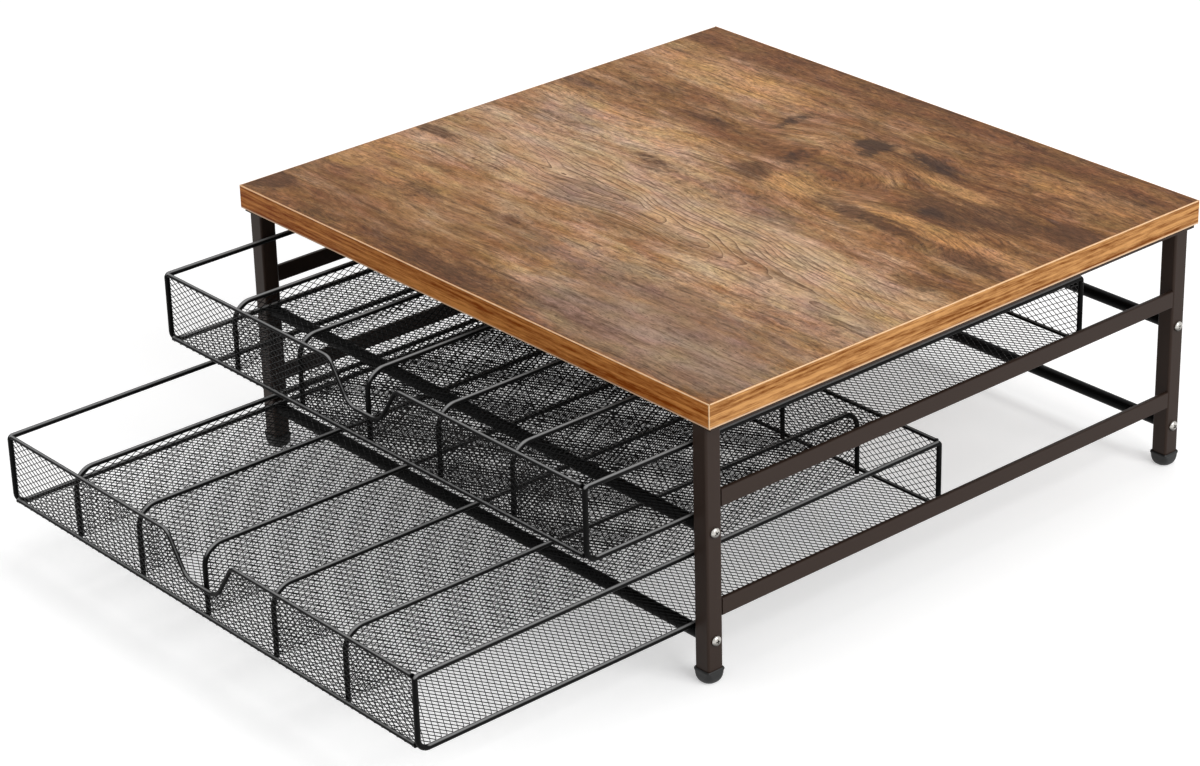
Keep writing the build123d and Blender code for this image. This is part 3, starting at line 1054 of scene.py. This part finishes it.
class RACK_OT_drawer_mesh(Operator):
    """Make the expanded metal of both drawers: front, rear, floor and dividers"""

    bl_idname = "rack.drawer_mesh"
    bl_label = "Drawer Mesh"

    def execute(self, context):
        sizes = context.scene.rack_sizes
        material = coat(context, "mesh_coat")
        x_axis, y_axis, z_axis = (1, 0, 0), (0, 1, 0), (0, 0, 1)
        for drawer in LEVELS:
            for end in ENDS:
                node = f"{drawer}_{end}_mesh"
                low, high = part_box(node)
                base = drawer_middle(drawer, f"{end}_bottom_wire").z
                rim_low, rim_high = drawer_box(drawer, f"{end}_rim_wire")
                height = rim_high.z - (rim_high.y - rim_low.y) / 2 - base
                start = Vector((low.x, (low.y + high.y) / 2, base))
                top = np.array(rim_line(drawer, sizes)) - (start.x, start.z) if end == "front" else None
                mesh_panel(node, start, x_axis, z_axis, high.x - low.x, height, sizes, material, top)
            node = f"{drawer}_floor_mesh"
            low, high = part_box(node)
            front, rear = (drawer_middle(drawer, f"{end}_bottom_wire").y for end in ENDS)
            start = Vector((low.x, front, (low.z + high.z) / 2))
            mesh_panel(node, start, x_axis, y_axis, high.x - low.x, rear - front, sizes, material)
            path, _ = divider_line(drawer, sizes)
            foot = path[0]
            width = path[-1].x - foot.x
            height = max(point.y for point in path) - foot.y
            top = np.array(path)[1:-1] - tuple(foot)
            for number in DIVIDERS:
                node = f"{drawer}_divider_mesh_{number}"
                low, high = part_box(node)
                start = Vector(((low.x + high.x) / 2, foot.x, foot.y))
                mesh_panel(node, start, y_axis, z_axis, width, height, sizes, material, top)
        return {"FINISHED"}


# Stage. The camera was solved from points measured in the photograph
CAMERA_PLACE = Vector((1229.4451, -1126.862, 849.4785)) * MM
CAMERA_YAW = math.radians(49.5625)
CAMERA_PITCH = math.radians(25.8282)
CAMERA_ROLL = math.radians(-1.5593)
CAMERA_LENS_MM = 106.2006
# Half the floor's width in metres, and the strengths of its glow and of the room's light
FLOOR_HALF = 6.0
FLOOR_GLOW = 0.42
ROOM_LIGHT = 0.4
WHITE = (1.0, 1.0, 1.0, 1.0)
# The lamps with their places in metres and their watts
LAMPS = (
    ("softbox right", (1.5, 0.1, 1.0), 18.0),
    ("softbox top", (-0.2, 0.3, 1.9), 10.0),
    ("softbox front", (-0.9, -1.7, 1.1), 6.0),
)
LAMP_SIZE = 1.2
LAMP_TARGET = (0.0, -0.05, 0.08)


def camera():
    """The camera at the photograph's angle."""
    ahead = Vector((
        -math.sin(CAMERA_YAW) * math.cos(CAMERA_PITCH),
        math.cos(CAMERA_YAW) * math.cos(CAMERA_PITCH),
        -math.sin(CAMERA_PITCH),
    ))
    level = Vector((math.cos(CAMERA_YAW), math.sin(CAMERA_YAW), 0.0))
    right = Matrix.Rotation(CAMERA_ROLL, 3, -ahead) @ level
    up = right.cross(ahead)
    data = bpy.data.cameras.new("photo camera")
    data.sensor_width = 36.0
    data.lens = CAMERA_LENS_MM
    data.clip_end = 50.0
    obj = new_object("photo camera", data)
    obj.matrix_world = Matrix.Translation(CAMERA_PLACE) @ Matrix((right, up, -ahead)).transposed().to_4x4()
    bpy.context.scene.camera = obj


def softbox(name, place, watts):
    """A square area lamp that looks at the rack."""
    data = bpy.data.lights.new(name, "AREA")
    data.size = LAMP_SIZE
    data.energy = watts
    obj = new_object(name, data)
    obj.location = place
    obj.rotation_euler = (Vector(LAMP_TARGET) - Vector(place)).to_track_quat("-Z", "Y").to_euler()


def seen_directly(tree):
    """One for rays from the camera, and for those that come off a glossy surface or through a clear one."""
    path = add(tree, "LightPath").outputs
    direct = calc(tree, "ADD", path["Is Camera Ray"], path["Is Glossy Ray"])
    values = {"operation": "ADD", "use_clamp": True}
    return add(tree, "Math", values, {0: direct, 1: path["Is Transmission Ray"]})


def studio_world():
    """A soft even light, and a white backdrop where it is seen directly."""
    world = bpy.data.worlds.new("studio")
    world.use_nodes = True
    tree = world.node_tree
    tree.nodes.clear()
    light = add(tree, "Background", {"Color": WHITE, "Strength": ROOM_LIGHT})
    backdrop = add(tree, "Background", {"Color": WHITE, "Strength": 1.0})
    both = add(tree, "MixShader", {}, {0: seen_directly(tree), 1: light, 2: backdrop})
    add(tree, "OutputWorld", {}, {"Surface": both})
    bpy.context.scene.world = world


def floor_paint(tint):
    """White studio floor: matt, and lifted to white where the camera sees it unshaded."""
    material, tree, place = new_material("matt floor paint")
    speckle = marks(tree, place, (2,) * 3)
    gloss = between(tree, speckle, 0.0, 1.0, 0.8, 0.9)
    values = {"Base Color": tuple(tint), "Specular IOR Level": 0.1}
    paint = add(tree, "BsdfPrincipled", values, {"Roughness": gloss})
    glow = add(tree, "Emission", {"Color": WHITE, "Strength": FLOOR_GLOW})
    lifted = add(tree, "AddShader", {}, {0: paint, 1: glow})
    both = add(tree, "MixShader", {}, {0: seen_directly(tree), 1: paint, 2: lifted})
    add(tree, "OutputMaterial", {}, {"Surface": both})
    return material


class RACK_OT_stage(Operator):
    """Make the floor, lamps, background and camera"""

    bl_idname = "rack.stage"
    bl_label = "Stage"

    def execute(self, context):
        shape = bmesh.new()
        bmesh.ops.create_grid(shape, x_segments=4, y_segments=4, size=FLOOR_HALF)
        floor = new_object("studio_floor", mesh_from("studio_floor", shape))
        floor.data.materials.append(floor_paint(context.scene.rack_colours.floor))
        for lamp in LAMPS:
            softbox(*lamp)
        studio_world()
        camera()
        context.scene.view_settings.view_transform = "Standard"
        return {"FINISHED"}


class RACK_PT_panel(Panel):
    """Sizes, colours and the button of each operator"""

    bl_idname = "RACK_PT_panel"
    bl_label = "Pod Rack"
    bl_space_type = "VIEW_3D"
    bl_region_type = "UI"
    bl_category = "Pod Rack"

    def draw(self, context):
        for group in (context.scene.rack_sizes, context.scene.rack_colours):
            box = self.layout.box()
            for name in group.__annotations__:
                box.prop(group, name)
        for operator in OPERATORS:
            self.layout.operator(operator.bl_idname)


OPERATORS = (
    RACK_OT_board,
    RACK_OT_edge_bands,
    RACK_OT_legs,
    RACK_OT_feet,
    RACK_OT_rails_and_bars,
    RACK_OT_screws,
    RACK_OT_drawer_wires,
    RACK_OT_drawer_mesh,
    RACK_OT_stage,
)
CLASSES = (RackSizes, RackColours, *OPERATORS, RACK_PT_panel)


def register():
    for each in CLASSES:
        bpy.utils.register_class(each)
    bpy.types.Scene.rack_sizes = PointerProperty(type=RackSizes)
    bpy.types.Scene.rack_colours = PointerProperty(type=RackColours)


def unregister():
    del bpy.types.Scene.rack_colours
    del bpy.types.Scene.rack_sizes
    for each in reversed(CLASSES):
        bpy.utils.unregister_class(each)


def main():
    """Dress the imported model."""
    register()
    bpy.ops.rack.board()
    bpy.ops.rack.edge_bands()
    bpy.ops.rack.legs()
    bpy.ops.rack.feet()
    bpy.ops.rack.rails_and_bars()
    bpy.ops.rack.screws()
    bpy.ops.rack.drawer_wires()
    bpy.ops.rack.drawer_mesh()
    bpy.ops.rack.stage()


if __name__ == "__main__":
    main()
